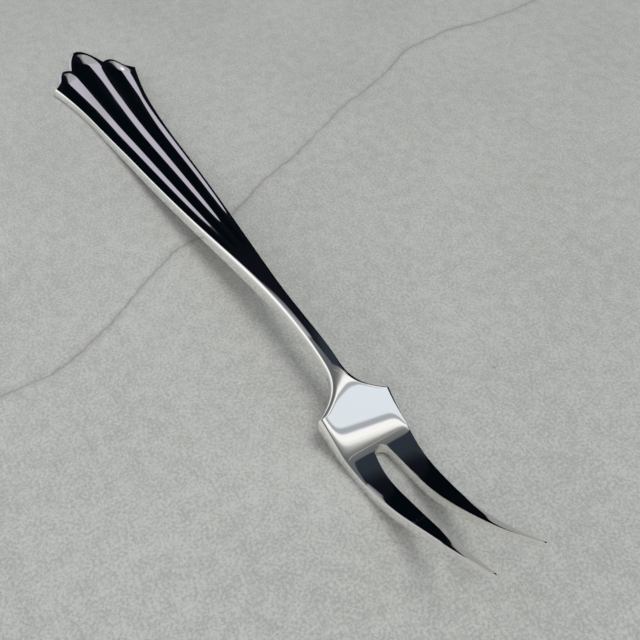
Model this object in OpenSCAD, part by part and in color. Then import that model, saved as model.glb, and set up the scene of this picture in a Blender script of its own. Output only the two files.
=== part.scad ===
// Two-tine serving fork, struck in one piece from silver: a lobed handle end,
// a handle with three flutes, a slim arched stem, a shouldered blade and two
// upswept tines. X runs along the fork towards the tips, Y across it and Z up
// from the table. The origin is on the table under the middle of the fork's
// length, and the handle's flat back and the blade's belly touch the table.

/* [Lengths along the fork] */
// Overall length, from the handle's rounded end to the tips
fork_length = 152; // [120:1:180]
// Lobed end, from its tip to the start of the plain fluted handle
end_length = 26; // [22:0.5:30]
// Plain stem, from where the flutes have run out to the neck
stem_length = 28.4; // [22:0.2:36]
// Curve from the neck out to the shoulders
sweep_length = 7.1; // [5:0.1:10]
// Blade, from the shoulders to the slot's root
blade_length = 6.2; // [4:0.1:8]
// Tines, from the slot's root to the tips
tine_length = 26.3; // [20:0.1:30]

/* [Widths] */
// Across the two corners of the handle end
end_width = 18.8; // [15:0.1:22]
// Across the neck, the narrowest place
neck_width = 2.4; // [1.8:0.1:3]
// Across the shoulders
shoulder_width = 12; // [9:0.1:14]
// Across the outsides of the two tips
tip_spread = 7.4; // [7.2:0.1:8.5]
// Slot between the tines at its root
slot_width = 2.2; // [1.6:0.1:2.6]
// Slot between the tips
tip_gap = 6.7; // [5.6:0.1:6.7]

/* [Handle end] */
// Set-back of the two notches beside the middle lobe
notch_back = 7.5; // [6.5:0.1:9]
// Distance between the two notches
notch_width = 8.1; // [7:0.1:9.5]
// Set-back of the two corners
corner_back = 13.7; // [12:0.1:16]
// Rolled rim round the handle end
rim_width = 0.9; // [0.5:0.05:1.1]

/* [Thickness] */
// Fluted handle, over its crests
handle_thickness = 1.9; // [1.3:0.05:2.2]
// Stem, at the neck
stem_thickness = 2.8; // [1.8:0.05:3.2]
// Blade
blade_thickness = 2.05; // [1.6:0.05:2.8]
// Tips of the tines
tip_thickness = 1.3; // [0.9:0.05:1.6]
// Depth of the middle flute
flute_depth = 0.43; // [0.2:0.01:0.6]
// Rolled edge of the handle, measured across
handle_roll = 0.5; // [0.3:0.05:0.8]
// Rolled edge of the blade and tines
blade_roll = 0.06; // [0.04:0.01:0.3]
// Fall of the blade's and the tines' top, from the middle out to the edges
blade_crown = 0.07; // [0.02:0.01:0.15]
// Rounding of the two tips, measured along the fork
tip_round = 0.5; // [0.3:0.05:0.8]

/* [Side profile] */
// Height of the stem's underside, before the belly is set down on the table
arch_height = 6.3; // [2:0.1:9]
// Rise of the tips' underside over the belly, before the same
tip_rise = 15; // [10:0.1:20]

/* [Hidden] */

// Places along the fork
root_x = fork_length - tine_length;
shoulder_x = root_x - blade_length;
neck_x = shoulder_x - sweep_length;
flute_reach = neck_x - stem_length;
belly_x = root_x - blade_length / 6;

// Inner crests, as a share of the half width over the crests
crest_share = 0.362;
// Taper of the handle from the corners to the shoulders, as shares of the
// difference between the handle end and the neck
taper_shares = [1, 0.737, 0.61, 0.515, 0.439, 0.347, 0.242, 0.127, 0.03, 0.013, 0.016];
// Rolled edge along the same stretch, as shares of handle_roll
roll_shares = [0.96, 0.48, 0.52, 0.64, 0.69, 0.76, 0.97, 1.22, 1.29, 1.17, 0.82];
// Underside of the arch at even stations of the whole length
arch_shares = [0, 0, 0, 0, 0, 0.02, 0.095, 0.2, 0.325, 0.457, 0.587, 0.708,
    0.819, 0.922, 1.008, 0.966, 0.445, 0.067, 0, 0, 0];
// Part of the length that lies level on the table, and the part of the tines
// in which the belly may lie
level_share = 0.25;
belly_share = 0.4;
// Power of the tines' upward sweep and of the sweep out to the shoulders
tine_power_share = 1.87;
sweep_power_share = 3.1;
// Thickness at even stations of the whole length
thickness_table = [handle_thickness, handle_thickness, handle_thickness,
    (handle_thickness + stem_thickness) / 2, (handle_thickness + stem_thickness) / 2,
    (handle_thickness + stem_thickness) / 2, stem_thickness, stem_thickness,
    blade_thickness, blade_thickness, tip_thickness];
// Depth of the flutes from the corners to flute_reach, as shares of
// flute_depth, and depth of a side flute as a share of the middle one's
fade_shares = [1, 0.85, 1, 0.87, 0.43, 0];
side_depth_share = 0.8;
// Roundness of the crests along the same stretch, a power: the higher, the
// nearer to a knife edge the crest between two flutes comes
crest_power_shares = [1.9, 2.3, 8, 10];
// Outside of the tines from the shoulders to the tips, as shares of the way
// from half the shoulder width in to half the tip spread
tine_out_shares = [0, 0.176, 0.388, 0.54, 0.69, 0.9, 1.004, 1.028, 1];
// Slot side from its root to the tips, as shares of its growth
slot_shares = [0, 0.19, 0.213, 0.237, 0.334, 0.465, 0.59, 0.772, 1];
// Side lobe of the handle end, from the notch to the corner: places as shares
// of the set-back and of the width between the two
lobe_x_shares = [0, -0.075, 0, 0.27, 0.62, 1];
lobe_y_shares = [0, 0.192, 0.403, 0.552, 0.678, 1];
// The drop of a rolled edge, as a share of the thickness there
roll_drop_share = 0.4;
// Chamfer along the back: its height as a share of the thickness there, and
// its width as a share of the rolled edge's
back_chamfer_share = 0.12;
back_inset_share = 0.3;
// The most of a tine's width that one rolled edge takes, and the most of the
// half width that the handle's takes
tine_roll_share = 0.3;
half_roll_share = 0.55;
// Power of the crown's fall towards the edges, and what is left of a tine's
// width and thickness at the very tip
crown_power_share = 7;
tip_left_share = 0.5;
// Deepening of the flutes towards the scooped ends
scoop_depth_share = 0.25;
// Length of the scooped end of a flute, as a share of end_length
scoop_share = 0.28;

// Steps of the surface: across the middle and a side flute, along each piece
// and round a rolled edge
mid_steps = 14;
side_steps = 10;
end_steps = 20;
handle_steps = 28;
stem_steps = 12;
blade_steps = 18;
root_steps = 6;
tine_steps = 20;
tip_steps = 3;
belly_steps = 40;
roll_steps = 4;
tine_across_steps = 6;

// Smooth curve through a table's values at even stations, t running 0 to 1
function item(table, i) = let (n = len(table) - 1)
    i < 0 ? 2 * table[0] - table[1]
    : i > n ? 2 * table[n] - table[n - 1]
    : table[i];
function control(table, i) =
    item(table, i) - (item(table, i - 1) - 2 * item(table, i) + item(table, i + 1)) / 6;
function mixed(a, b, c, d, s) =
    (a * pow(1 - s, 3) + b * (3 * pow(s, 3) - 6 * s * s + 4)
    + c * (3 * s + 3 * s * s - 3 * pow(s, 3) + 1) + d * pow(s, 3)) / 6;
function flow(table, t) =
    let (n = len(table) - 1, p = min(max(t, 0), 1) * n, i = min(floor(p), n - 1))
    mixed(control(table, i - 1), control(table, i), control(table, i + 1),
        control(table, i + 2), p - i);
function clamped(t) = min(max(t, 0), 1);

// Side profile. The underside bends in an arch from the handle to the belly, and
// from there rises to the tips by a power of the distance. A smooth step past
// the level part of the handle then sets the belly on the table.
function bent(x) =
    arch_height * flow(arch_shares, x / fork_length)
    + tip_rise * pow(clamped((x - belly_x) / (fork_length - belly_x)), tine_power_share);
belly_end_x = root_x + tine_length * belly_share;
belly_drop = min([for (i = [0:belly_steps])
    bent(shoulder_x + (belly_end_x - shoulder_x) * i / belly_steps)]);
level_x = fork_length * level_share;
function set_down(x) =
    let (k = clamped((x - level_x) / (belly_x - level_x))) k * k * (3 - 2 * k);
function under(x) = max(0, bent(x) - belly_drop * set_down(x));
function thick(x) = flow(thickness_table, x / fork_length);
function crest_z(x) = under(x) + thick(x);

// Half width over all, width of the rolled edge and half width over the crests
function along(x) = (x - corner_back) / (shoulder_x - corner_back);
function half(x) =
    neck_width / 2
    + (end_width - neck_width) / 2 * flow(taper_shares, along(x))
    + (shoulder_width - neck_width) / 2
        * pow(clamped((x - neck_x) / (shoulder_x - neck_x)), sweep_power_share);
function blend(x) = clamped((x - neck_x) / (shoulder_x - neck_x));
function roll(x) =
    min(half(x) * half_roll_share, (1 - blend(x)) * handle_roll * flow(roll_shares, along(x))
    + blend(x) * blade_roll);
function tine_half(x) =
    let (t = (x - shoulder_x) / (fork_length - shoulder_x))
    shoulder_width / 2 + (tip_spread - shoulder_width) / 2 * flow(tine_out_shares, t);
function outer(x) = x < shoulder_x ? half(x) : tine_half(x);
function slot_half(x) =
    let (r = slot_width / 2, d = x - root_x)
    d <= 0 ? 0
    : d < r ? sqrt(r * r - (r - d) * (r - d))
    : r + (tip_gap / 2 - r) * flow(slot_shares, (d - r) / (tine_length - r));
function edge(x) = x < shoulder_x ? roll(x)
    : min(blade_roll, tine_roll_share * (tine_half(x) - slot_half(x)));
function over_crests(x) = outer(x) - edge(x);
// Fall of the blade's and tines' top at y, which grows with a power of y
function crown(x, y) = blade_crown * blend(x) * pow(abs(y) / over_crests(x), crown_power_share);

// Places across the top, from -1 to 1 between the outer crests, and the depth
// of the flutes below the crests there
across = concat(
    [for (i = [0:side_steps - 1]) -1 + (1 - crest_share) * i / side_steps],
    [for (i = [0:mid_steps]) crest_share * (2 * i / mid_steps - 1)],
    [for (i = [1:side_steps]) crest_share + (1 - crest_share) * i / side_steps]);
// Place in a flute, from 0 at its bottom to 1 at its crests, and the hollow
// there, from 1 at the bottom to 0: a round trough that levels out again at
// the crest, later with a higher power
function in_flute(v) =
    abs(v) <= crest_share ? abs(v) / crest_share
    : abs(2 * (abs(v) - crest_share) / (1 - crest_share) - 1);
function bowl(u, power) = u * u / 2 - pow(u, power + 2) / (power + 2);
function hollow(u, power) = 1 - bowl(u, power) / bowl(1, power);
function down_handle(x) = (x - corner_back) / (flute_reach - corner_back);
function flute(x, v) =
    flute_depth * flow(fade_shares, down_handle(x))
    * (abs(v) <= crest_share ? 1 : side_depth_share)
    * hollow(in_flute(v), flow(crest_power_shares, down_handle(x)));

// The outline of the handle end and of the crest that follows it, at v
function lobed(v, tip_x, notch, corner) =
    let (w = abs(v), side = v < 0 ? -1 : 1)
    w <= crest_share
        ? let (q = w / crest_share)
            [tip_x + (notch[0] - tip_x) * q * q, side * notch[1] * q]
        : let (t = (w - crest_share) / (1 - crest_share))
            [notch[0] + (corner[0] - notch[0]) * flow(lobe_x_shares, t),
            side * (notch[1] + (corner[1] - notch[1]) * flow(lobe_y_shares, t))];
crest_corner_x = corner_back + rim_width / 3;
function outline(v) =
    lobed(v, 0, [notch_back, notch_width / 2], [corner_back, half(corner_back)]);
function crest_line(v) =
    lobed(v, rim_width, [notch_back + rim_width * 1.3, notch_width / 2 - rim_width / 2],
        [crest_corner_x, over_crests(crest_corner_x)]);

// One closed section: back, wall, rolled edge, top, rolled edge, wall and back.
// A rolled edge is a quarter ellipse from the outer crest c to the wall w.
function reversed(list) = [for (i = [len(list) - 1:-1:0]) list[i]];
function roll_point(c, w, z, t, s) = let (a = 90 * s / roll_steps)
    [c[0] + (w[0] - c[0]) * sin(a), c[1] + (w[1] - c[1]) * sin(a),
    z - roll_drop_share * t * (1 - cos(a))];
function wall_point(w, z, t) = [w[0], w[1], z - t + back_chamfer_share * t];
function back_point(c, w, z, t) =
    [w[0] + (c[0] - w[0]) * back_inset_share, w[1] + (c[1] - w[1]) * back_inset_share, z - t];
// Back, wall and rolled edge on one side, up to the crest but without it
function side_points(c, w, z, t) = concat(
    [back_point(c, w, z, t), wall_point(w, z, t)],
    [for (s = [roll_steps:-1:1]) roll_point(c, w, z, t, s)]);
function section(x) =
    let (z = crest_z(x), c = over_crests(x), w = outer(x),
        side_z = z - crown(x, c), side_t = thick(x) - crown(x, c))
    concat(side_points([x, -c], [x, -w], side_z, side_t),
        [for (v = across) [x, v * c, z - flute(x, v) - crown(x, v * c)]],
        reversed(side_points([x, c], [x, w], side_z, side_t)));

// The handle end's top at u from the fluted handle (0) to the rim (1)
function end_slope() = (over_crests(end_length) - over_crests(end_length - rim_width)) / rim_width;
function end_place(u, v) =
    let (e = crest_line(v), run = e[0] - end_length,
        y = v * over_crests(end_length), m = v * end_slope() * run)
    [end_length + run * u, y + m * u + (e[1] - y - m) * u * u];
function scoop(u) = let (s = clamped((u - 1 + scoop_share) / scoop_share)) 1 - s * s;
function end_top(u, v) =
    let (p = end_place(u, v))
    [p[0], p[1], crest_z(p[0]) - flute(end_length, v) * (1 + scoop_depth_share * u) * scoop(u)];
function end_side(u, side) =
    let (c = end_place(u, side), x = end_length + (corner_back - end_length) * u)
    side_points(c, [x, side * outer(x)], crest_z(x), thick(x));
function end_row(u) = concat(end_side(u, -1), [for (v = across) end_top(u, v)],
    reversed(end_side(u, 1)));
// The same ring carried down over the rim (1 to roll_steps), the wall and the back
function rim_point(v, level) =
    let (c = crest_line(v), w = outline(v), z = crest_z(c[0]), t = thick(c[0]))
    level <= roll_steps ? roll_point(c, w, z, t, level)
    : level == roll_steps + 1 ? wall_point(w, z, t)
    : back_point(c, w, z, t);
function rim_side(side, level) =
    [for (k = [roll_steps + 2:-1:1]) rim_point(side, max(k, level))];
function rim_row(level) = concat(rim_side(-1, level),
    [for (v = across) rim_point(v, level)], reversed(rim_side(1, level)));

// The left tine's section, from its outside to the slot. The tip is rounded by
// drawing the section in towards its middle, as an ellipse does.
function tip_left(x) =
    let (d = clamped((x - fork_length + tip_round) / tip_round))
    sqrt(1 - (1 - tip_left_share * tip_left_share) * d * d);
function tine_section(x) =
    let (k = tip_left(x), middle = (tine_half(x) + slot_half(x)) / 2,
        w = middle + (tine_half(x) - middle) * k, g = middle + (slot_half(x) - middle) * k,
        base_z = under(x) + thick(x) * (1 - k) / 2, z = base_z + thick(x) * k,
        e = edge(x) * k, start = clamped((x - root_x) / slot_width),
        c = w - e, h = g + e * start,
        c_z = z - crown(x, c), h_z = z - crown(x, h))
    concat(side_points([x, c], [x, w], c_z, c_z - base_z),
        [for (i = [0:tine_across_steps]) let (y = c + (h - c) * i / tine_across_steps)
            [x, y, z - crown(x, y)]],
        reversed(side_points([x, h], [x, g], h_z, h_z - base_z)));

// A closed skin through rings of equal length. Points that fall together at a
// corner leave no face between them.
function strip_faces(rows, count) = [for (i = [0:rows - 2]) for (j = [0:count - 1])
    let (k = (j + 1) % count, a = i * count + j, b = i * count + k)
    each [[a, b, b + count], [a, b + count, a + count]]];
function apart(points, f) = points[f[0]] != points[f[1]]
    && points[f[1]] != points[f[2]] && points[f[2]] != points[f[0]];
function ring_face(points, first, count) = [for (j = [0:count - 1])
    if (points[first + j] != points[first + (j + 1) % count]) first + j];
module skin(rings, turned = false) {
    rows = len(rings);
    count = len(rings[0]);
    points = [for (r = rings) each r];
    faces = concat([reversed(ring_face(points, 0, count))],
        [for (f = strip_faces(rows, count)) if (apart(points, f)) f],
        [ring_face(points, (rows - 1) * count, count)]);
    translate([-fork_length / 2, 0, 0]) polyhedron(points = points,
        faces = turned ? [for (f = faces) reversed(f)] : faces, convexity = 6);
}
function even(from, to, steps) = [for (i = [0:steps]) from + (to - from) * i / steps];

module handle_end() {
    color([0.78, 0.79, 0.81])
        skin(concat([for (u = even(0, 1, end_steps)) end_row(u)],
            [for (level = [1:roll_steps + 2]) rim_row(level)]), turned = true);
}
module handle() {
    color([0.80, 0.80, 0.82])
        skin([for (x = even(end_length, flute_reach, handle_steps)) section(x)]);
}
module stem() {
    color([0.76, 0.77, 0.79])
        skin([for (x = even(flute_reach, neck_x, stem_steps)) section(x)]);
}
module blade() {
    color([0.83, 0.84, 0.86])
        skin([for (x = concat(even(neck_x, shoulder_x, blade_steps),
            [for (x = even(shoulder_x, root_x, 5)) if (x > shoulder_x) x])) section(x)]);
}

module tine() {
    r = slot_width / 2;
    straight_x = fork_length - tip_round;
    x_list = concat(
        [for (i = [0:root_steps]) root_x + r * (1 - cos(90 * i / root_steps))],
        [for (i = [1:tine_steps]) root_x + r + (straight_x - root_x - r) * i / tine_steps],
        [for (i = [1:tip_steps]) straight_x + tip_round * sin(90 * i / tip_steps)]);
    skin([for (x = x_list) tine_section(x)], turned = true);
}
module tine_left() {
    color([0.74, 0.75, 0.78]) tine();
}
module tine_right() {
    color([0.74, 0.75, 0.78]) mirror([0, 1, 0]) tine();
}

handle_end();
handle();
stem();
blade();
tine_left();
tine_right();
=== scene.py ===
# Two-tine serving fork in polished silver, lying on a pale stone table
import math

import bpy
import numpy as np
from mathutils import Matrix, Vector


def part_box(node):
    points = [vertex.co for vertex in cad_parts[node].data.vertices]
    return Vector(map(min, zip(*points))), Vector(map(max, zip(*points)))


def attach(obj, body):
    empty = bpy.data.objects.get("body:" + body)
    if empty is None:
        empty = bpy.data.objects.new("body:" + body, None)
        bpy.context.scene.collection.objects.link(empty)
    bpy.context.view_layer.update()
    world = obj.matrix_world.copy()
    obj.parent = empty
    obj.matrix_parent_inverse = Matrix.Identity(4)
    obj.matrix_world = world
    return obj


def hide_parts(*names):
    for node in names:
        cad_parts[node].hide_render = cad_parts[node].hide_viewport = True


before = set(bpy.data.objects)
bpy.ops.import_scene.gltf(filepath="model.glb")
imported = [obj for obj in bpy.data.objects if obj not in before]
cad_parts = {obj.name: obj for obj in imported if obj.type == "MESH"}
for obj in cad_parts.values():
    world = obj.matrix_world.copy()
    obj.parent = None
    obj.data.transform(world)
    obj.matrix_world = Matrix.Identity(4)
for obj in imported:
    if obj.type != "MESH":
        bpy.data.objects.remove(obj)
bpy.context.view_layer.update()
print("frame loaded:", ", ".join(sorted(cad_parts)))

# Shapes are worked out in millimetres, with x from the handle's rounded end,
# and written to the meshes in metres in the part's own frame.
mm = 0.001
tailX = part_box("handle_end")[0][0]


def endOf(node):
    return (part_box(node)[1][0] - tailX) / mm


endLength = endOf("handle_end")
fluteReach = endOf("handle")
neckX = endOf("stem")
rootX = endOf("blade")
forkLength = endOf("tine_left")


def smoothStep(t):
    # 0 up to t = 0 and 1 from t = 1, with the cubic 3t^2 - 2t^3 between
    k = np.clip(t, 0, 1)
    return k * k * (3 - 2 * k)


def flow(values, t):
    # Smooth curve through values at even stations, t running 0 to 1: a cubic
    # B-spline whose controls stand off the values by a sixth of their bend
    v = np.array(values, float)
    n = len(v) - 1
    first = 2 * v[0] - v[1]
    last = 2 * v[n] - v[n - 1]
    run = np.concatenate([[first, first], v, [last, last]])
    control = run[1:-1] - (run[:-2] - 2 * run[1:-1] + run[2:]) / 6
    place = np.clip(t, 0, 1) * n
    i = np.minimum(np.floor(place), n - 1).astype(int)
    s = place - i
    return (control[i] * (1 - s) ** 3
            + control[i + 1] * (3 * s ** 3 - 6 * s * s + 4)
            + control[i + 2] * (3 * s + 3 * s * s - 3 * s ** 3 + 1)
            + control[i + 3] * s ** 3) / 6


blade = {
    "length": 6.2,           # from the shoulders to the slot's root
    "bellyParts": 6,         # the lowest point is one such part of it before the root
    "shoulderWidth": 12,
    "sweepPower": 3.1,       # of the curve from the neck out to the shoulders
    "roll": 0.8,             # width of the rolled edge
    "crown": 0.05,           # fall of the top from the middle to the edges
    "crownPower": 12,
}
shoulderX = rootX - blade["length"]
bellyX = rootX - blade["length"] / blade["bellyParts"]

sideProfile = {
    "archHeight": 6.3,       # of the stem's underside, before the belly is brought down
    "archShares": [0, 0, 0, 0, 0, 0.02, 0.095, 0.2, 0.325, 0.457, 0.587, 0.708,
                   0.819, 0.922, 1.008, 0.966, 0.445, 0.067, 0, 0, 0],
    "tipRise": 15,
    "risePower": 1.87,
    "levelShare": 0.25,      # part of the length that lies flat
    "bellyReach": 0.4,       # part of the tines over which its lowest point is looked for
    "bellyPlaces": 41,
    "handleThickness": 1.9,
    "stemThickness": 2.8,
    "bladeThickness": 2.05,
    "tipThickness": 1.3,
}


def bent(x):
    # An arch from the handle to the belly, and a rise to the tips that grows
    # with a power of the distance past the belly
    s = sideProfile
    rise = np.clip((x - bellyX) / (forkLength - bellyX), 0, 1) ** s["risePower"]
    return s["archHeight"] * flow(s["archShares"], x / forkLength) + s["tipRise"] * rise


bellyEnd = rootX + sideProfile["bellyReach"] * (forkLength - rootX)
bellyDrop = bent(np.linspace(shoulderX, bellyEnd, sideProfile["bellyPlaces"])).min()


def under(x):
    # Underside: the bent line less a smooth step that sets the belly on the table
    level = sideProfile["levelShare"] * forkLength
    return np.maximum(bent(x) - bellyDrop * smoothStep((x - level) / (bellyX - level)), 0)


def thick(x):
    # Thickness: a smooth curve through eleven stations from end to end
    s = sideProfile
    atHandle, atStem = s["handleThickness"], s["stemThickness"]
    between = (atHandle + atStem) / 2
    stations = [atHandle] * 3 + [between] * 3 + [atStem] * 2
    stations += [s["bladeThickness"]] * 2 + [s["tipThickness"]]
    return flow(stations, x / forkLength)


def topZ(x):
    return under(x) + thick(x)


handle = {
    "endWidth": 18.8,        # across the two corners
    "neckWidth": 2.4,
    "cornerBack": 13.7,      # from the rounded end back to the corners
    "taperShares": [1, 0.737, 0.61, 0.515, 0.439, 0.347, 0.242, 0.127, 0.03, 0.013, 0.016],
    "roll": 0.5,             # width of the rolled edge
    "rollShares": [0.96, 0.48, 0.52, 0.64, 0.69, 0.76, 0.97, 1.22, 1.29, 1.17, 0.82],
    "mostRollShare": 0.55,   # widest it gets, of the half width
    "crestShare": 0.36,      # inner crests, of the half width over the outer ones
    "fluteDepth": 0.43,
    "fadeShares": [0.86, 0.61, 0.69, 0.53, 0.4, 0],     # of that depth, along the flutes
    "sideDepthShare": 0.87,  # of the side flutes, of the middle one's
    "crestPowers": [1.2, 1.2, 2.08, 2.86],              # higher makes narrower crests
    "stemRound": 0.08,       # fall of the stem's top from its middle to its sides
}
tines = {
    "tipSpread": 7.4,
    "slotWidth": 2.2,
    "tipGap": 6.7,
    "outShares": [0, 0.176, 0.388, 0.54, 0.69, 0.9, 1.004, 1.028, 1],
    "slotShares": [0, 0.19, 0.213, 0.237, 0.334, 0.465, 0.59, 0.772, 1],
    "roll": 0.08,            # width of the rolled edges
    "mostRollShare": 0.3,    # widest they get, of the tine's width
    "tipRound": 0.5,         # rounding of the tips, along the fork
    "tipLeftShare": 0.5,     # of width and thickness, at the very tip
    "round": 0.055,          # fall of each tine's top from its middle to its sides
    "roundPower": 3.4,
    "roundReach": 6,         # mm over which that starts at the slot's root
}
cornerX = handle["cornerBack"]


def sweep(x):
    # 0 up to the neck, 1 from the shoulders, straight between
    return np.clip((x - neckX) / (shoulderX - neckX), 0, 1)


def half(x):
    # Half width: the handle's taper plus a power curve out to the shoulders
    taper = flow(handle["taperShares"], (x - cornerX) / (shoulderX - cornerX))
    narrow = handle["neckWidth"] / 2
    wide = handle["endWidth"] / 2
    shoulder = blade["shoulderWidth"] / 2
    return narrow + (wide - narrow) * taper + (shoulder - narrow) * sweep(x) ** blade["sweepPower"]


def roll(x):
    # Width of the rolled edge up to the shoulders: a smooth curve along the
    # handle that goes over into the blade's width
    shares = flow(handle["rollShares"], (x - cornerX) / (shoulderX - cornerX))
    width = (1 - sweep(x)) * handle["roll"] * shares + sweep(x) * blade["roll"]
    return np.minimum(half(x) * handle["mostRollShare"], width)


def tineHalf(x):
    # Half width over both tines: a smooth curve from the shoulders to the tips
    t = (x - shoulderX) / (forkLength - shoulderX)
    wide = blade["shoulderWidth"] / 2
    return wide + (tines["tipSpread"] / 2 - wide) * flow(tines["outShares"], t)


def slotHalf(x):
    # Half the slot: a quarter circle from its root, then a curve to the tips
    r = tines["slotWidth"] / 2
    d = x - rootX
    bend = np.sqrt(np.maximum(r * r - (r - np.clip(d, 0, r)) ** 2, 0))
    t = (d - r) / (forkLength - rootX - r)
    grown = r + (tines["tipGap"] / 2 - r) * flow(tines["slotShares"], t)
    return np.where(d < r, bend, grown)


def outer(x):
    # Half width of the outline, end to end
    return np.where(x < shoulderX, half(x), tineHalf(x))


def edge(x):
    # Width of the rolled edge of all pieces: between the shoulders and the
    # slot's root the blade's wide one narrows to the tines'
    widest = tines["mostRollShare"] * (tineHalf(x) - slotHalf(x))
    narrows = smoothStep((x - shoulderX) / (rootX - shoulderX))
    beyond = blade["roll"] + (tines["roll"] - blade["roll"]) * narrows
    return np.where(x < shoulderX, roll(x), np.minimum(beyond, widest))


def overCrests(x):
    # Half width inside the rolled edges, out to the outer crests
    return outer(x) - edge(x)


def crown(x, y):
    # Fall of the blade's and tines' top, growing with a power of y
    return blade["crown"] * sweep(x) * (np.abs(y) / overCrests(x)) ** blade["crownPower"]


def stemRound(x, y):
    # The stem's top is a shallow arch across, growing from the flutes' end
    # and dying out on the blade
    grows = smoothStep((x - fluteReach) / (neckX - fluteReach))
    dies = 1 - smoothStep((x - neckX) / (shoulderX - neckX))
    return handle["stemRound"] * grows * dies * (y / overCrests(x)) ** 2


def tineRound(x, y):
    # Each tine's top is a shallow arch across its own width, a power of the
    # distance from its middle
    middle = (tineHalf(x) + slotHalf(x)) / 2
    reach = (tineHalf(x) - slotHalf(x)) / 2
    grows = smoothStep((x - rootX) / tines["roundReach"])
    return tines["round"] * grows * (np.abs(y - middle) / reach) ** tines["roundPower"]


def flute(x, v):
    # Depth of the three flutes at v, from -1 to 1 between the outer crests.
    # u is 0 at a flute's bottom and 1 at its crests, and the section is
    # u^2/2 - u^(n+2)/(n+2), which levels out again where u reaches 1.
    share = handle["crestShare"]
    w = np.abs(v)
    u = np.where(w <= share, w / share, np.abs(2 * (w - share) / (1 - share) - 1))
    t = (x - cornerX) / (fluteReach - cornerX)
    n = flow(handle["crestPowers"], t)
    rise = (u * u / 2 - u ** (n + 2) / (n + 2)) / (0.5 - 1 / (n + 2))
    depth = handle["fluteDepth"] * np.maximum(flow(handle["fadeShares"], t), 0)
    return depth * np.where(w <= share, 1, handle["sideDepthShare"]) * (1 - rise)


# Section of the metal: how its edges turn, and the points round it
section = {
    "rollDropShare": 0.36,   # drop of the rolled edge, of the thickness
    "backDropShare": 0.12,   # rounding along the back, of the thickness
    "backInsetShare": 0.3,   # its width, of the rolled edge's
    # steps of the grid over each part of a section
    "rollSteps": 14,
    "wallSteps": 3,
    "backSteps": 5,
    "midSteps": 44,
    "sideSteps": 32,
    "tineSteps": 14,
    "underSteps": 6,
}


def edgePoints(crest, wall, z, t):
    # One side of a section from the back up to the crest, crest left out.
    # crest and wall are arrays of (x, y). The back's edge and the rolled edge
    # are quarter ellipses, the wall between them is straight.
    s = section
    turn = np.linspace(0, math.pi / 2, s["backSteps"] + 1)
    fall = np.linspace(math.pi / 2, 0, s["rollSteps"] + 1)[:-1]
    climb = np.linspace(0, 1, s["wallSteps"] + 1)[1:-1]
    foot = s["backDropShare"]
    brow = 1 - s["rollDropShare"]
    out = np.concatenate([s["backInsetShare"] * (1 - np.sin(turn)), 0 * climb, 1 - np.sin(fall)])
    up = np.concatenate([foot * (1 - np.cos(turn)), foot + (brow - foot) * climb,
                         1 - s["rollDropShare"] * (1 - np.cos(fall))])
    place = wall[..., None, :] + (crest - wall)[..., None, :] * out[:, None]
    height = (z - t)[..., None] + t[..., None] * up
    return np.concatenate([place, height[..., None]], axis=-1)


def acrossShares():
    # Places across the flutes from -1 to 1, even between neighbouring crests
    share = handle["crestShare"]
    side = np.linspace(share, 1, section["sideSteps"] + 1)
    mid = np.linspace(-share, share, section["midSteps"] + 1)
    return np.concatenate([-side[::-1][:-1], mid, side[1:]])


def underPoints(first, last):
    # Points across the flat back, between two back corners
    k = np.linspace(0, 1, section["underSteps"] + 1)[1:-1]
    return first[..., None, :] + (last - first)[..., None, :] * k[:, None]


def closedSection(left, top, right):
    # Once round a section: up one side, over the top, down the other side and
    # along the back
    back = underPoints(right[..., 0, :], left[..., 0, :])
    return np.concatenate([left, top, right[..., ::-1, :], back], axis=-2)


def stackXY(x, y):
    # Points (x, y) from two arrays, or from an array and a number
    return np.stack([x + 0 * y, y + 0 * x], axis=-1)


def barRows(x):
    # Closed sections of the handle, stem and blade at the places x
    v = acrossShares()
    z, c, w = topZ(x), overCrests(x), outer(x)
    fall = crown(x, c) + stemRound(x, c)
    left = edgePoints(stackXY(x, -c), stackXY(x, -w), z - fall, thick(x) - fall)
    right = edgePoints(stackXY(x, c), stackXY(x, w), z - fall, thick(x) - fall)
    place = x[:, None]
    y = v * c[:, None]
    drop = flute(place, v) + crown(place, y) + stemRound(place, y)
    top = np.stack([place + 0 * v, y, z[:, None] - drop], axis=-1)
    return closedSection(left, top, right)


def tineRows(x):
    # Sections of the tine on the +Y side, from its outside to the slot. At the
    # tip each is drawn in towards its middle, as an ellipse is.
    near = np.clip((x - forkLength + tines["tipRound"]) / tines["tipRound"], 0, 1)
    left = np.sqrt(1 - (1 - tines["tipLeftShare"] ** 2) * near * near)
    middle = (tineHalf(x) + slotHalf(x)) / 2
    w = middle + (tineHalf(x) - middle) * left
    g = middle + (slotHalf(x) - middle) * left
    base = under(x) + thick(x) * (1 - left) / 2
    z = base + thick(x) * left
    e = edge(x) * left
    # the slot's rolled edge grows over one slot width from the root
    start = np.clip((x - rootX) / tines["slotWidth"], 0, 1)
    c, h = w - e, g + e * start
    zc, zh = z - crown(x, c) - tineRound(x, c), z - crown(x, h) - tineRound(x, h)
    outside = edgePoints(stackXY(x, c), stackXY(x, w), zc, zc - base)
    inside = edgePoints(stackXY(x, h), stackXY(x, g), zh, zh - base)
    y = c[:, None] + (h - c)[:, None] * np.linspace(0, 1, section["tineSteps"] + 1)
    place = x[:, None]
    top = np.stack([place + 0 * y, y, z[:, None] - crown(place, y) - tineRound(place, y)], axis=-1)
    return closedSection(outside, top, inside)


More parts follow.
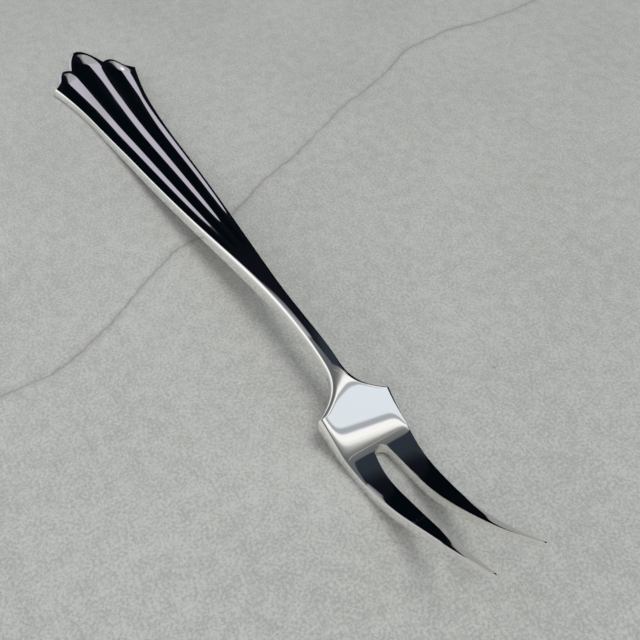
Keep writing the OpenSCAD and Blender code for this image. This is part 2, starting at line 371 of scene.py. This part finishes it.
handleEnd = {
    "notchBack": 7.5,        # notches beside the middle lobe
    "notchWidth": 8.1,
    "rim": 0.9,              # rolled rim round the lobes
    "rimTip": 1.9,           # its width at the middle lobe's tip
    "notchRimShare": 1.3,    # and behind the notches, of the rim
    "cornerRimParts": 3,     # at the corners it is one such part of the rim
    # side lobe from the notch (0) to the corner (1), along and across the fork
    "lobeXShares": [0, -0.075, 0, 0.27, 0.62, 1],
    "lobeYShares": [0, 0.192, 0.403, 0.552, 0.678, 1],
    "scoopDepthShare": 1.5,  # how much deeper the middle flute gets, with u^3
    "sideDepthShare": 0.7,   # and the side flutes, with u + u^2
    "scoopShare": 0.22,      # part of the piece's length that a flute's scooped end takes
    "rows": 110,
}


def lobed(v, tip, notch, corner):
    # A line round the lobes at v: a parabola for the middle lobe out to the
    # notch, then a smooth curve round the side lobe to the corner
    share = handle["crestShare"]
    w, side = np.abs(v), np.sign(v)
    q = w / share
    t = (w - share) / (1 - share)
    middle = w <= share
    x = np.where(middle, tip + (notch[0] - tip) * q * q,
                 notch[0] + (corner[0] - notch[0]) * flow(handleEnd["lobeXShares"], t))
    y = np.where(middle, notch[1] * q,
                 notch[1] + (corner[1] - notch[1]) * flow(handleEnd["lobeYShares"], t))
    return np.stack([x, side * y], axis=-1)


def outline(v):
    # The outer line, which ends at the handle's two corners
    e = handleEnd
    corner = (cornerX, float(half(np.array(cornerX))))
    return lobed(v, 0, (e["notchBack"], e["notchWidth"] / 2), corner)


def crestLine(v):
    # The rim's crest: the same kind of line, inside the outline
    e = handleEnd
    x = cornerX + e["rim"] / e["cornerRimParts"]
    notch = (e["notchBack"] + e["notchRimShare"] * e["rim"], e["notchWidth"] / 2 - e["rim"] / 2)
    return lobed(v, e["rimTip"], notch, (x, float(overCrests(np.array(x)))))


def endRows():
    # The handle end's closed rings: from the fluted handle (u = 0) the rings
    # bend until they follow the rim's crest (u = 1), then the same ring goes
    # over the rolled rim and down the wall to the back. A column's y is a
    # parabola in u that starts along the handle's taper.
    e = handleEnd
    v = acrossShares()
    u = np.linspace(0, 1, e["rows"] + 1)[:, None]
    rim = e["rim"]
    start = float(overCrests(np.array(endLength)))
    slope = (start - float(overCrests(np.array(endLength - rim)))) / rim
    line = crestLine(v)
    x = endLength + (line[:, 0] - endLength) * u
    lean = v * slope * (line[:, 0] - endLength)
    y = v * start + lean * u + (line[:, 1] - v * start - lean) * u * u
    middle = np.abs(v) <= handle["crestShare"]
    deeper = np.where(middle, e["scoopDepthShare"] * u ** 3, e["sideDepthShare"] * (u + u * u))
    closes = 1 - smoothStep((u - 1 + e["scoopShare"]) / e["scoopShare"])
    depth = flute(np.array(endLength), v) * (1 + deeper) * closes
    top = np.stack([x, y, topZ(x) - depth], axis=-1)
    sideX = endLength + (cornerX - endLength) * u[:, 0]
    sides = []
    for side, column in ((-1, 0), (1, -1)):
        crest = top[:, column, :2]
        sides.append(edgePoints(crest, stackXY(sideX, side * outer(sideX)),
                                topZ(crest[:, 0]), thick(crest[:, 0])))
    upper = closedSection(sides[0], top, sides[1])
    # every column of the rim, from the crest (level 0) down to the back
    down = edgePoints(line, outline(v), topZ(line[:, 0]), thick(line[:, 0]))[:, ::-1]
    levels = down.shape[1]
    order = np.arange(levels)
    lower = []
    for level in range(levels):
        left = down[0, np.maximum(order, level)][::-1]
        right = down[-1, np.maximum(order, level)][::-1]
        lower.append(closedSection(left, down[:, level], right))
    return np.concatenate([upper, np.array(lower)])


# Steps along each stretch of the fork, and how far past a piece's ends stand
# the ghost rows, which only make the shading run on across the seam
steps = {
    "handle": 200,
    "stem": 110,
    "neck": 90,
    "shoulder": 40,
    "slotRoot": 22,
    "tine": 150,
    "tip": 10,
}
ghost = 0.05
mergeDigits = 6              # points that agree to so many decimals are one
tiny = 1e-12                 # shortest normal that is divided by


def even(start, stop, count):
    return np.linspace(start, stop, count + 1)


def withGhosts(x):
    return np.concatenate([[x[0] - ghost], x, [x[-1] + ghost]])


def quadFaces(rows, columns):
    # Quads between neighbouring rings of a grid whose columns close on
    # themselves, turned outwards for rings that run clockwise towards +X
    i = np.arange(rows - 1)[:, None] * columns
    j = np.arange(columns)[None, :]
    k = (j + 1) % columns
    return np.stack([i + j, i + columns + j, i + columns + k, i + k], axis=-1).reshape(-1, 4)


def faceNormals(points, quads):
    # The cross product of a quad's diagonals, as long as twice its area
    a, b, c, d = (points[quads[:, n]] for n in range(4))
    return np.cross(c - a, d - b)


def summedNormals(count, quads, facing):
    # For each of count points, the sum of its quads' normals
    sums = np.zeros((count, 3))
    for corner in range(4):
        np.add.at(sums, quads[:, corner], facing)
    return sums


def wholeFaces(skin):
    # The quads with four different corners, and triangles in place of those
    # that a merged point has shrunk
    whole = (skin != np.roll(skin, 1, axis=1)).all(axis=1)
    whole &= (skin[:, 0] != skin[:, 2]) & (skin[:, 1] != skin[:, 3])
    rest = skin[~whole]
    triangles = np.concatenate([rest[:, [0, 1, 2]], rest[:, [0, 2, 3]]])
    apart = (triangles != np.roll(triangles, 1, axis=1)).all(axis=1)
    return skin[whole].tolist() + triangles[apart].tolist()


def lidFace(ring, turned):
    # One flat face over a ring, its merged points left out
    loop = ring[ring != np.roll(ring, 1)]
    return (loop[::-1] if turned else loop).tolist()


def shadedMesh(name, points, faces, skinCount, normals):
    # A mesh whose skin is shaded with the points' normals. The faces after the
    # skin are its flat lids.
    mesh = bpy.data.meshes.new(name)
    mesh.from_pydata(points.tolist(), [], faces)
    mesh.polygons.foreach_set("use_smooth", np.arange(len(faces)) < skinCount)
    loopVertex = np.empty(len(mesh.loops), np.int32)
    mesh.loops.foreach_get("vertex_index", loopVertex)
    shading = normals[loopVertex]
    for polygon in mesh.polygons[skinCount:]:
        shading[list(polygon.loop_indices)] = polygon.normal
    mesh.normals_split_custom_set(shading.tolist())
    mesh.update()
    return mesh


def addPiece(name, rows, node, flip=False, ghosts=(1, 1), mirrorY=False, plainColumns=None):
    # A closed skin through rings, with a lid on each end. A point's normal is
    # the area-weighted sum over the skin, with the ghost rows and without the
    # lids; in the plain columns without the ghost rows too. flip is for rings
    # that run the other way round.
    if mirrorY:
        rows = rows * [1, -1, 1]
        flip = not flip
    count, columns = rows.shape[:2]
    points = rows.reshape(-1, 3)
    quads = quadFaces(count, columns)
    if flip:
        quads = quads[:, ::-1]
    _, first, merged = np.unique(np.round(points, mergeDigits), axis=0,
                                 return_index=True, return_inverse=True)
    rings = merged.reshape(count, columns)
    corners = rings.ravel()[quads]
    facing = faceNormals(points, quads)
    rowOf = np.repeat(np.arange(count - 1), columns)
    real = (rowOf >= ghosts[0]) & (rowOf < count - 1 - ghosts[1])
    normals = summedNormals(len(first), corners, facing)
    if plainColumns is not None:
        plain = rings[:, plainColumns].ravel()
        normals[plain] = summedNormals(len(first), corners[real], facing[real])[plain]
    normals /= np.maximum(np.linalg.norm(normals, axis=1, keepdims=True), tiny)
    faces = wholeFaces(corners[real])
    skinCount = len(faces)
    faces.append(lidFace(rings[ghosts[0]], not flip))
    faces.append(lidFace(rings[count - 1 - ghosts[1]], flip))
    # the points that the ghost rows alone use are left out
    used, inverse = np.unique(np.concatenate([np.array(f) for f in faces]), return_inverse=True)
    cuts = np.cumsum([len(f) for f in faces])[:-1]
    faces = [f.tolist() for f in np.split(inverse.reshape(-1), cuts)]
    place = points[first][used] * mm + [tailX, 0, 0]
    mesh = shadedMesh(name, place, faces, skinCount, normals[used])
    piece = bpy.data.objects.new(name, mesh)
    bpy.context.scene.collection.objects.link(piece)
    piece.data.materials.append(silver)
    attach(piece, "root")
    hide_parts(node)
    print(name, len(mesh.polygons), "faces")


class Signal:
    # A node socket that Python's operators work on, adding Math nodes
    def __init__(self, graph, socket):
        self.graph = graph
        self.socket = socket

    def maths(self, operation, *values):
        return self.graph.add("ShaderNodeMath", {"operation": operation}, values)

    def __add__(self, other):
        return self.maths("ADD", self, other)

    def __radd__(self, other):
        return self.maths("ADD", other, self)

    def __sub__(self, other):
        return self.maths("SUBTRACT", self, other)

    def __rsub__(self, other):
        return self.maths("SUBTRACT", other, self)

    def __mul__(self, other):
        return self.maths("MULTIPLY", self, other)

    def __rmul__(self, other):
        return self.maths("MULTIPLY", other, self)

    def __truediv__(self, other):
        return self.maths("DIVIDE", self, other)

    def __abs__(self):
        return self.maths("ABSOLUTE", self)

    def rising(self, start, stop):
        # 0 below start, 1 above stop, smooth between
        return self.graph.add("ShaderNodeMapRange", {"interpolation_type": "SMOOTHSTEP"},
                              {"Value": self, "From Min": start, "From Max": stop})


class Graph:
    def __init__(self, tree):
        self.tree = tree
        tree.nodes.clear()

    def add(self, kind, settings=None, inputs=(), output=0):
        # One node: its type, its settings, then the values or links of its sockets
        node = self.tree.nodes.new(kind)
        for key, value in (settings or {}).items():
            if key == "stops":
                self.setStops(node.color_ramp, value)
            else:
                setattr(node, key, value)
        pairs = inputs.items() if isinstance(inputs, dict) else enumerate(inputs)
        for key, value in pairs:
            if isinstance(value, Signal):
                self.tree.links.new(value.socket, node.inputs[key])
            else:
                node.inputs[key].default_value = value
        return Signal(self, node.outputs[output]) if node.outputs else node

    def setStops(self, ramp, stops):
        while len(ramp.elements) > 1:
            ramp.elements.remove(ramp.elements[-1])
        for n, (place, colour) in enumerate(stops):
            stop = ramp.elements[0] if n == 0 else ramp.elements.new(place)
            stop.position = place
            stop.color = (*colour, 1)

    def mix(self, factor, a, b):
        # Colours: a where the factor is 0, b where it is 1. A Mix node keeps
        # its factor in socket 0 and its colours in 6 and 7.
        values = {0: factor, 6: a if isinstance(a, Signal) else (*a, 1),
                  7: b if isinstance(b, Signal) else (*b, 1)}
        return self.add("ShaderNodeMix", {"data_type": "RGBA"}, values, output=2)

    def noise(self, vector, scale, detail, roughness, distortion=0.0):
        return self.add("ShaderNodeTexNoise", {}, {
            "Vector": vector, "Scale": scale, "Detail": detail,
            "Roughness": roughness, "Distortion": distortion})

    def bump(self, height, strength, distance):
        return self.add("ShaderNodeBump", {}, {
            "Strength": strength, "Distance": distance, "Height": height})


def newMaterial(name):
    # A material, its graph and the Object coordinates, which are a Texture
    # Coordinate node's fourth output
    material = bpy.data.materials.new(name)
    material.use_nodes = True
    g = Graph(material.node_tree)
    return material, g, g.add("ShaderNodeTexCoord", output=3)


# A noise's numbers are its scale per metre, detail, roughness and, if given,
# distortion. What it brings comes in between the two values of its range.
polish = {
    "colour": (0.955, 0.945, 0.925),
    "warm": (0.925, 0.90, 0.86),      # faint tarnish
    "warmShare": 0.55,
    "warmNoise": (35, 3, 0.5, 0.8),
    "warmRange": (0.48, 0.7),
    "roughness": 0.035,
    "smudge": 0.05,                   # roughness that handling adds
    "smudgeNoise": (90, 4, 0.6),
    "smudgeRange": (0.5, 0.75),
    "scratches": 0.09,                # roughness along a hairline
    "scratchNoise": (1.0, 2, 0.5),
    # the noise is stretched by a scale on each axis, and turned
    "hairlines": {"scale": (14, 900, 300), "turn": 0.12, "range": (0.68, 0.74)},
    "nicks": {"scale": (700, 22, 300), "turn": -0.5, "range": (0.7, 0.76)},
    "waves": 0.0000022,               # height of the hand polish's waves, metres
    "waveNoise": (140, 2, 0.4),
}


def silverMaterial():
    material, g, place = newMaterial("polishedSilver")

    def scratched(kind):
        laid = g.add("ShaderNodeMapping", {}, {
            "Vector": place, "Scale": kind["scale"], "Rotation": (0, 0, kind["turn"])})
        return g.noise(laid, *polish["scratchNoise"]).rising(*kind["range"])

    smudge = g.noise(place, *polish["smudgeNoise"]).rising(*polish["smudgeRange"])
    warm = g.noise(place, *polish["warmNoise"]).rising(*polish["warmRange"])
    tint = g.mix(warm * polish["warmShare"], polish["colour"], polish["warm"])
    lines = scratched(polish["hairlines"]) + scratched(polish["nicks"])
    rough = polish["roughness"] + smudge * polish["smudge"] + lines * polish["scratches"]
    wave = g.bump(g.noise(place, *polish["waveNoise"]), 1.0, polish["waves"])
    shader = g.add("ShaderNodeBsdfPrincipled", {}, {
        "Base Color": tint, "Metallic": 1.0, "Roughness": rough, "Normal": wave})
    g.add("ShaderNodeOutputMaterial", {}, {"Surface": shader})
    return material


silver = silverMaterial()
print("silver made")

before = barRows(np.array([endLength + ghost]))
endRings = np.concatenate([before, endRows()])
addPiece("handleEnd", endRings, "handle_end", flip=True, ghosts=(1, 0))

handleX = even(endLength, fluteReach, steps["handle"])
addPiece("flutedHandle", barRows(withGhosts(handleX)), "handle")

stemX = even(fluteReach, neckX, steps["stem"])
addPiece("archedStem", barRows(withGhosts(stemX)), "stem")

bladeX = np.concatenate([even(neckX, shoulderX, steps["neck"])[:-1],
                         even(shoulderX, rootX, steps["shoulder"])])
addPiece("shoulderedBlade", barRows(withGhosts(bladeX)), "blade")

slotRadius = tines["slotWidth"] / 2
bend = slotRadius * (1 - np.cos(even(0, math.pi / 2, steps["slotRoot"])))
straightX = forkLength - tines["tipRound"]
turn = np.sin(even(0, math.pi / 2, steps["tip"]))
tineX = np.concatenate([[rootX - ghost], rootX + bend,
                        even(rootX + slotRadius, straightX, steps["tine"])[1:],
                        straightX + tines["tipRound"] * turn[1:]])
tineRings = tineRows(tineX)
# the columns down the side of the slot, which has nothing before its root
edgeCount = section["backSteps"] + section["wallSteps"] + section["rollSteps"]
slotTop = edgeCount + section["tineSteps"] + 1
slotSide = np.arange(slotTop + 1, slotTop + edgeCount)
for name, node, mirrored in (("tineLeft", "tine_left", False), ("tineRight", "tine_right", True)):
    addPiece(name, tineRings, node, flip=True, ghosts=(1, 0), mirrorY=mirrored,
             plainColumns=slotSide)

table = {
    "reach": 1500,           # mm from the middle to the edges
    "close": 170,            # mm, the part with the fine grid
    "closeLines": 171,
    "sink": 0.00002,         # metres that it lies under the fork
    "light": (0.505, 0.51, 0.485),
    "dark": (0.355, 0.36, 0.34),
    # the mottle between the two is the sum of three noises
    "cloud": {"share": 0.12, "noise": (30, 4, 0.55)},
    "grain": {"share": 0.68, "noise": (2300, 3, 0.8)},
    "patches": {"share": 0.2, "noise": (420, 3, 0.6)},
    "mottleRange": (0.41, 0.59),
    "speck": (0.2, 0.2, 0.19),
    "speckShare": 0.5,
    "speckNoise": (1100, 1, 0.3),
    "speckRange": (0.78, 0.82),
    "vein": (0.25, 0.25, 0.235),
    "veinShare": 0.75,
    "crack": {"share": 0.7, "width": 0.45},      # a vein's line, half its width in mm
    "halo": {"share": 0.3, "width": 1.8},        # and the soft shade along it
    "wander": 5,                                 # mm from side to side that it strays
    "wanderNoise": (60, 5, 0.7),
    "fadeNoise": (45, 2, 0.5),
    "fadeRange": (0.2, 0.45),
    "roughness": 0.28,
    "grainRoughness": 0.12,
    "grainBump": (0.3, 0.00015),                 # strength, and height in metres
    "ior": 1.55,
    # a vein's run in mm along the fork's X, at even steps of its Y
    "mainVein": {
        "from": -60,
        "to": 120,
        "run": [24, 13, 12, 6, -3, -6, -14, -20, -27, -32, -40, -42, -41, -42, -45],
    },
}


def veinOffset(vein, x, y):
    # Signed distance in mm across a vein: x less the vein's run at this y
    places = np.linspace(vein["from"], vein["to"], len(vein["run"]))
    return x - np.interp(y, places, vein["run"])


def stoneMaterial():
    material, g, place = newMaterial("paleStone")
    cloud, grain, patches = (g.noise(place, *table[k]["noise"]) for k in ("cloud", "grain", "patches"))
    mottle = (cloud * table["cloud"]["share"] + grain * table["grain"]["share"]
              + patches * table["patches"]["share"]).rising(*table["mottleRange"])
    colour = g.mix(mottle, table["dark"], table["light"])
    speck = g.noise(place, *table["speckNoise"]).rising(*table["speckRange"])
    colour = g.mix(speck * table["speckShare"], colour, table["speck"])
    wander = (g.noise(place, *table["wanderNoise"]) - 0.5) * table["wander"]
    across = g.add("ShaderNodeAttribute", {"attribute_name": "mainVein"}, output=2)
    off = abs(across + wander)
    crack, halo = (1 - off.rising(0.0, table[k]["width"]) for k in ("crack", "halo"))
    fade = g.noise(place, *table["fadeNoise"]).rising(*table["fadeRange"])
    vein = (crack * table["crack"]["share"] + halo * table["halo"]["share"]) * fade
    colour = g.mix(vein * table["veinShare"], colour, table["vein"])
    shader = g.add("ShaderNodeBsdfPrincipled", {}, {
        "Base Color": colour,
        "Roughness": table["roughness"] + grain * table["grainRoughness"],
        "IOR": table["ior"],
        "Normal": g.bump(grain, *table["grainBump"])})
    g.add("ShaderNodeOutputMaterial", {}, {"Surface": shader})
    return material


def addTable():
    # A flat grid, fine near the fork, that carries the offsets of the veins
    fine = np.linspace(-table["close"], table["close"], table["closeLines"])
    line = np.concatenate([[-table["reach"]], fine, [table["reach"]]])
    x, y = np.meshgrid(line, line, indexing="ij")
    n = len(line)
    i = np.arange(n - 1)[:, None] * n + np.arange(n - 1)
    quads = np.stack([i, i + n, i + n + 1, i + 1], axis=-1).reshape(-1, 4)
    points = np.stack([x * mm, y * mm, 0 * x - table["sink"]], axis=-1).reshape(-1, 3)
    mesh = bpy.data.meshes.new("tableTop")
    mesh.from_pydata(points.tolist(), [], quads.tolist())
    layer = mesh.attributes.new("mainVein", "FLOAT", "POINT")
    layer.data.foreach_set("value", veinOffset(table["mainVein"], x, y).ravel())
    top = bpy.data.objects.new("tableTop", mesh)
    bpy.context.scene.collection.objects.link(top)
    mesh.materials.append(stoneMaterial())


addTable()
print("table laid")

# Camera: it looks down along a heading, measured from the fork's +X, at a
# point on the table, and is rolled a little
view = {
    "aim": (0.0237, 0.0062),  # metres, as the distance is
    "distance": 0.1267,
    "pitch": 47.97,
    "heading": 148.9,
    "roll": -0.09,
    "focal": 780,             # in pixels of a frame of this width
    "frameWidth": 640,
    "sensor": 36,
    "nearest": 0.005,
}


def addCamera():
    heading, pitch, roll = (math.radians(view[k]) for k in ("heading", "pitch", "roll"))
    forward = np.array([math.cos(heading) * math.cos(pitch), math.sin(heading) * math.cos(pitch),
                        -math.sin(pitch)])
    right = np.array([math.sin(heading), -math.cos(heading), 0.0])
    up = np.cross(right, forward)
    turnedRight = math.cos(roll) * right - math.sin(roll) * up
    turnedUp = math.sin(roll) * right + math.cos(roll) * up
    place = np.array([*view["aim"], 0.0]) - view["distance"] * forward
    lens = bpy.data.cameras.new("photoView")
    lens.sensor_width = view["sensor"]
    lens.lens = view["focal"] / view["frameWidth"] * view["sensor"]
    lens.clip_start = view["nearest"]
    camera = bpy.data.objects.new("photoView", lens)
    columns = np.stack([turnedRight, turnedUp, -forward, place], axis=1)
    camera.matrix_world = Matrix([*columns.tolist(), (0, 0, 0, 1)])
    bpy.context.scene.collection.objects.link(camera)
    bpy.context.scene.camera = camera


addCamera()
print("camera set")

# The studio round the table, as the polished metal sees it. A panel fills a
# range of directions: degrees round from the camera's right hand, 90 being
# straight ahead, and degrees up.
studio = {
    "room": (0.62, 0.62, 0.61),
    "walls": [
        {"round": (10, 125), "up": (-30, 70), "edge": 2, "colour": (0.0012, 0.0028, 0.0042)},
        {"round": (-400, 400), "up": (57, 91), "edge": 6, "colour": (0.003, 0.005, 0.007)},
    ],
    "windows": [
        {"round": (104, 118), "up": (36, 58), "edge": 4, "colour": (0.19, 0.195, 0.21)},
        {"round": (115.6, 200), "up": (6, 57), "edge": 1.0, "colour": (0.485, 0.474, 0.56)},
        {"round": (112, 129), "up": (34, 58), "edge": 3, "colour": (0.36, 0.37, 0.395)},
        {"round": (137, 200), "up": (4, 40), "edge": 3, "colour": (1.0, 1.0, 0.98)},
    ],
    # What hangs over the table, measured on a level plane one unit up: from
    # the lamp's frame towards the dark end of the room, and across that line
    "turn": 153.4,
    "lowest": 0.05,          # sine of the height below which the plane isn't followed
    "overhead": (0.3, 0.5),  # sine of the height over which it takes over from the walls
    "grey": [(-0.405, (0.97, 0.98, 0.98)), (-0.385, (0.76, 0.77, 0.76)),
             (-0.37, (0.46, 0.47, 0.46)), (-0.35, (0.32, 0.33, 0.32)),
             (-0.32, (0.22, 0.235, 0.235)), (-0.28, (0.17, 0.18, 0.18)),
             (-0.2, (0.125, 0.14, 0.15)), (0.1, (0.11, 0.125, 0.135)),
             (0.6, (0.16, 0.17, 0.18)), (1.6, (0.3, 0.3, 0.31))],
    "greySpan": (-0.6, 1.4),
    "greySideSoft": 0.15,
    "endSoft": 0.01,         # of the grey part's and the line's ends
    # the dark part starts at a slanted corner: its place, its sides' slopes and softness
    "dark": [(-0.2, (0.026, 0.034, 0.048)), (0.1, (0.024, 0.031, 0.043)),
             (0.25, (0.013, 0.018, 0.025)), (0.4, (0.0065, 0.009, 0.0135)),
             (0.6, (0.0045, 0.006, 0.0095)), (1.6, (0.0022, 0.0035, 0.005))],
    "darkFrom": -0.12,
    "darkAcross": 0.265,
    "darkSlope": 0.25,
    "darkLean": 0.9,
    "darkSoft": 0.02,
    # a slanted pale line, full for one part in so many of its width
    "line": {"slope": 1.49, "place": 0.085, "width": 0.02, "coreParts": 3,
             "along": (-0.37, -0.16), "colour": (0.36, 0.36, 0.34)},
    "lamp": {"along": (-1.6, -0.485), "across": (-0.1, 0.9), "colour": (0.76, 0.83, 0.90)},
    "lampSoft": 0.008,
    "frameColour": (0.38, 0.41, 0.45),
    "frameWidth": 0.035,
    "frameReach": 0.5,       # how far across the frame and the glow round it go
    "glowWidth": 0.05,
}


def lightStudio():
    world = bpy.data.worlds.new("studio")
    bpy.context.scene.world = world
    world.use_nodes = True
    g = Graph(world.node_tree)
    toward = g.add("ShaderNodeTexCoord")
    turned = g.add("ShaderNodeMapping", {}, {
        "Vector": toward, "Rotation": (0, 0, math.radians(90 - view["heading"]))})
    split = g.add("ShaderNodeSeparateXYZ", {}, (turned,))
    x, y, z = (Signal(g, socket) for socket in split.socket.node.outputs)
    degree = 180 / math.pi
    # degrees round run from -90 to 270, so that no panel is cut where they end
    azimuth = x.maths("ARCTAN2", y, x) * degree
    azimuth = azimuth + x.maths("LESS_THAN", azimuth, -90.0) * 360
    height = z.maths("ARCSINE", z) * degree
    level = z.maths("MAXIMUM", z, studio["lowest"])
    turn = math.radians(studio["turn"])
    along = (x * math.cos(turn) + y * math.sin(turn)) / level
    across = (x * math.sin(turn) - y * math.cos(turn)) / level

    def within(value, low, high, soft):
        # 1 from low to high, 0 outside, smooth over soft on both sides of each
        return value.rising(low - soft, low + soft) * (1 - value.rising(high - soft, high + soft))

    def spread(stops):
        # Colours spread along the plane overhead
        first, last = stops[0][0], stops[-1][0]
        shares = [((p - first) / (last - first), c) for p, c in stops]
        return g.add("ShaderNodeValToRGB", {"stops": shares},
                     {"Fac": (along - first) / (last - first)})

    def hung(colour, panels):
        # Panels over a colour, the later ones in front
        for panel in panels:
            soft = panel["edge"] / 2
            mask = within(height, *panel["up"], soft)
            if panel["round"][1] - panel["round"][0] < 360:
                mask = mask * within(azimuth, *panel["round"], soft)
            colour = g.mix(mask, colour, panel["colour"])
        return colour

    # the grey part, with the dark part and the line in front of it
    ceiling = spread(studio["grey"])
    border = across - studio["darkAcross"] - studio["darkSlope"] * (along - studio["darkFrom"])
    start = along - studio["darkFrom"] + studio["darkLean"] * (across - studio["darkAcross"])
    soft = studio["darkSoft"]
    shade = start.rising(-soft, soft) * border.rising(-soft, soft)
    ceiling = g.mix(shade, ceiling, spread(studio["dark"]))
    line = studio["line"]
    off = abs(along + across * line["slope"] - line["place"])
    thin = 1 - off.rising(line["width"] / line["coreParts"], line["width"])
    thin = thin * within(along, *line["along"], studio["endSoft"])
    ceiling = g.mix(thin, ceiling, line["colour"])
    first, last = studio["grey"][0][0], studio["grey"][-1][0]
    inside = within(along, first, last, studio["endSoft"])
    inside = inside * within(across, *studio["greySpan"], studio["greySideSoft"])
    colour = hung(studio["room"], studio["walls"])
    colour = g.mix(inside * z.rising(*studio["overhead"]), colour, ceiling)
    # the lamp, from the glow round its frame to its panel
    lamp = studio["lamp"]
    for grow, paint in ((studio["frameWidth"] + studio["glowWidth"], studio["grey"][0][1]),
                        (studio["frameWidth"], studio["frameColour"]), (0, lamp["colour"])):
        mask = within(along, lamp["along"][0] - grow, lamp["along"][1] + grow, studio["lampSoft"])
        right = lamp["across"][1] if grow == 0 else studio["frameReach"]
        mask = mask * within(across, lamp["across"][0] - grow, right, studio["lampSoft"])
        colour = g.mix(mask * z.rising(*studio["overhead"]), colour, paint)
    colour = hung(colour, studio["windows"])
    glow = g.add("ShaderNodeBackground", {}, {"Color": colour, "Strength": 1.0})
    g.add("ShaderNodeOutputWorld", {}, {"Surface": glow})


# Soft light for the table and all that isn't a mirror. The polished metal
# doesn't show these lamps, it shows the studio above. Degrees round and up are
# a panel's, spread is how wide a lamp looks.
lamps = [
    {"name": "keyLight", "round": -5, "up": 73, "spread": 26, "power": 1.41},
    {"name": "fillLight", "round": 150, "up": 70, "spread": 150, "power": 0.75},
]


def addLamps():
    for lamp in lamps:
        light = bpy.data.lights.new(lamp["name"], "SUN")
        light.energy = lamp["power"]
        light.angle = math.radians(lamp["spread"])
        way, up = math.radians(view["heading"] - 90 + lamp["round"]), math.radians(lamp["up"])
        source = Vector((math.cos(up) * math.cos(way), math.cos(up) * math.sin(way), math.sin(up)))
        piece = bpy.data.objects.new(lamp["name"], light)
        piece.rotation_euler = source.to_track_quat("Z", "Y").to_euler()
        piece.visible_glossy = False
        bpy.context.scene.collection.objects.link(piece)


addLamps()
lightStudio()
bpy.context.scene.view_settings.view_transform = "Standard"
print("studio lit")
